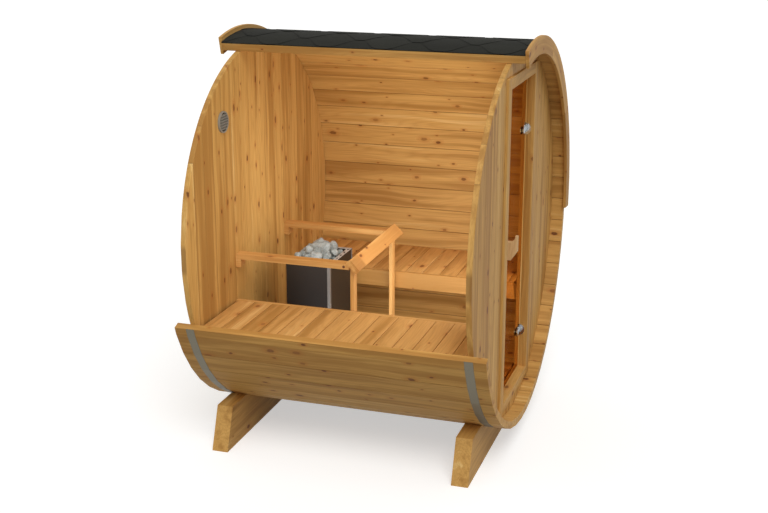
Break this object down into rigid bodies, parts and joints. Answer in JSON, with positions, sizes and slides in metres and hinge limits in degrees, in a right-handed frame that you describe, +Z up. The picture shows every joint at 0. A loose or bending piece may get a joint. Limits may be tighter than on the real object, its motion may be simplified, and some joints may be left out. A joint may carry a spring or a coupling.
{
  "type": "barrel sauna",
  "caption": "Round timber sauna cabin on two cradles, with a tinted glass door, benches, a guarded stone heater and part of the side cut away.",
  "frame": {"origin": "on the ground, under the middle of the box that holds the whole sauna", "axes": "+X along the barrel towards the door, +Y towards the closed far side, +Z up"},
  "size_m": [1.6256, 1.9853, 2.1279],
  "materials": {
    "stave_pine": "planed pine, slightly rough",
    "wall_pine": "planed pine boards",
    "frame_pine": "planed pine",
    "shingle": "matt mineral-faced bitumen",
    "arc_pine": "planed pine",
    "band_steel": "dull steel strip",
    "cradle_pine": "planed pine",
    "bronze_glass": "clear bronze-tinted glass",
    "chrome": "polished",
    "handle_wood": "smooth light wood",
    "bench_pine": "smooth planed pine",
    "floor_pine": "planed pine",
    "guard_pine": "smooth planed pine",
    "heater_black": "satin",
    "heater_steel": "fine brushed",
    "heater_stone": "rough",
    "vent_grey": "satin"
  },
  "bodies": {
    "cabin": {"band_front": "band_steel", "band_rear": "band_steel", "bench_far_bearers": "bench_pine", "bench_far_fascia": "bench_pine", "bench_far_slats": "bench_pine", "bench_near_bearers": "bench_pine", "bench_near_fascia": "bench_pine", "bench_near_slats": "bench_pine", "cradle_front": "cradle_pine", "cradle_rear": "cradle_pine", "door_head": "frame_pine", "door_jamb_far": "frame_pine", "door_jamb_near": "frame_pine", "door_sill": "frame_pine", "end_arc_front": "arc_pine", "end_arc_rear": "arc_pine", "floor_bearers": "floor_pine", "floor_boards": "floor_pine", "front_wall_far": "wall_pine", "front_wall_near": "wall_pine", "front_wall_over_door": "wall_pine", "front_wall_under_door": "wall_pine", "guard_front_board": "guard_pine", "guard_posts": "guard_pine", "guard_rail_far": "guard_pine", "guard_rail_near": "guard_pine", "heater_casing": "heater_black", "heater_rim": "heater_steel", "heater_stones": "heater_stone", "heater_trims": "heater_steel", "hinge_plates": "chrome", "rear_wall": "wall_pine", "roof_shingles": "shingle", "staves_bottom_far": "stave_pine", "staves_bottom_near": "stave_pine", "staves_far_low": "stave_pine", "staves_far_side": "stave_pine", "staves_far_upper": "stave_pine", "staves_near_low": "stave_pine", "staves_roof": "stave_pine", "wall_vent": "vent_grey"},
    "door": {"door_glass": "bronze_glass", "hinge_clamps": "chrome", "handle_outside": "handle_wood", "handle_inside": "handle_wood"}
  },
  "joints": [
    {"name": "door_hinge", "type": "hinge", "parent": "cabin", "child": "door", "pos_m": [0.69, 0.2207, 1.1], "axis": [0, 0, 1], "range_deg": [0, 95]}
  ]
}
